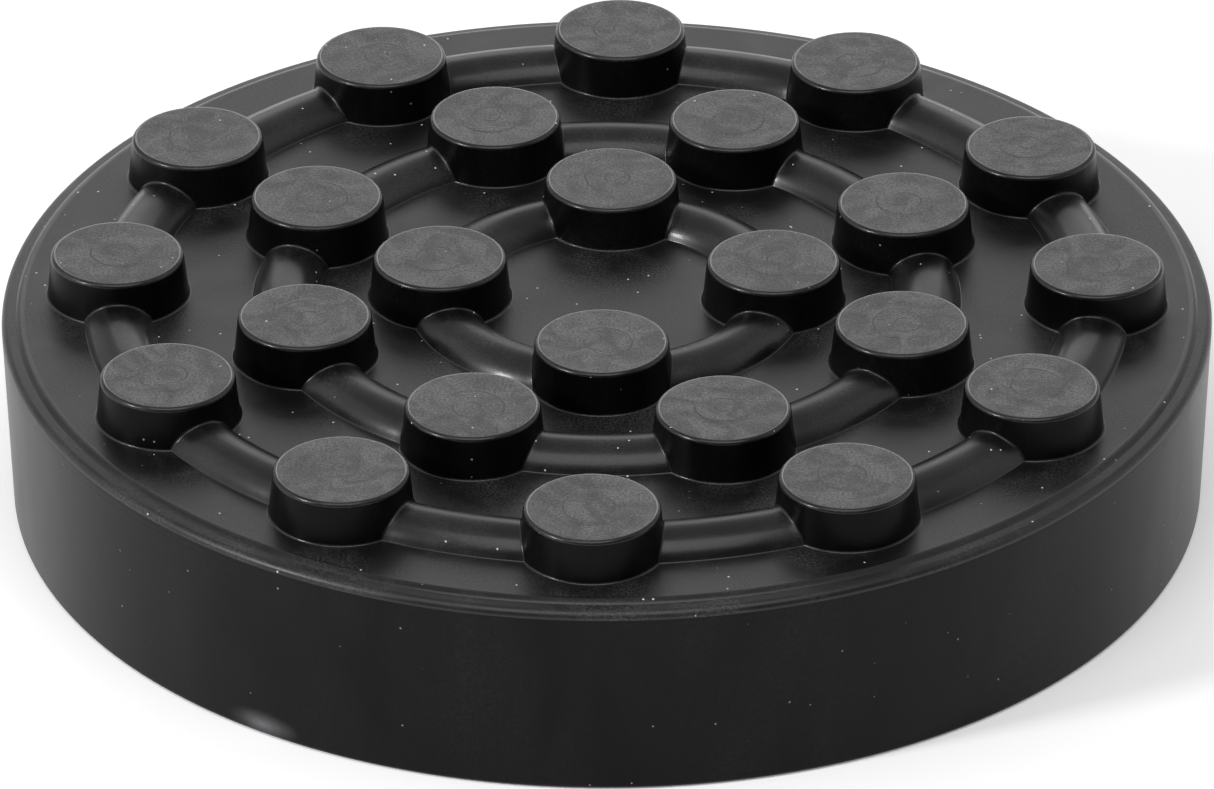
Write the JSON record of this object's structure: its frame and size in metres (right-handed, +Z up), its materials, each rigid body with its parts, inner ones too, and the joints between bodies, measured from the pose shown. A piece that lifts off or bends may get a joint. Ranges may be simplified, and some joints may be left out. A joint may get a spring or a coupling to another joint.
{
  "type": "lift arm rubber pad",
  "caption": "Thick round rubber pad for a vehicle lift arm, with a stepped rim and rings of raised studs linked by low rounded ribs.",
  "frame": {"origin": "centre of the flat underside", "axes": "+Z up through the studs, +X through one stud of the inner ring and one of the outer ring"},
  "size_m": [0.12, 0.12, 0.025],
  "materials": {
    "black_rubber": "matt moulded black rubber with a faint sheen"
  },
  "bodies": {
    "root": {"rubber_pad": "black_rubber"}
  },
  "joints": []
}
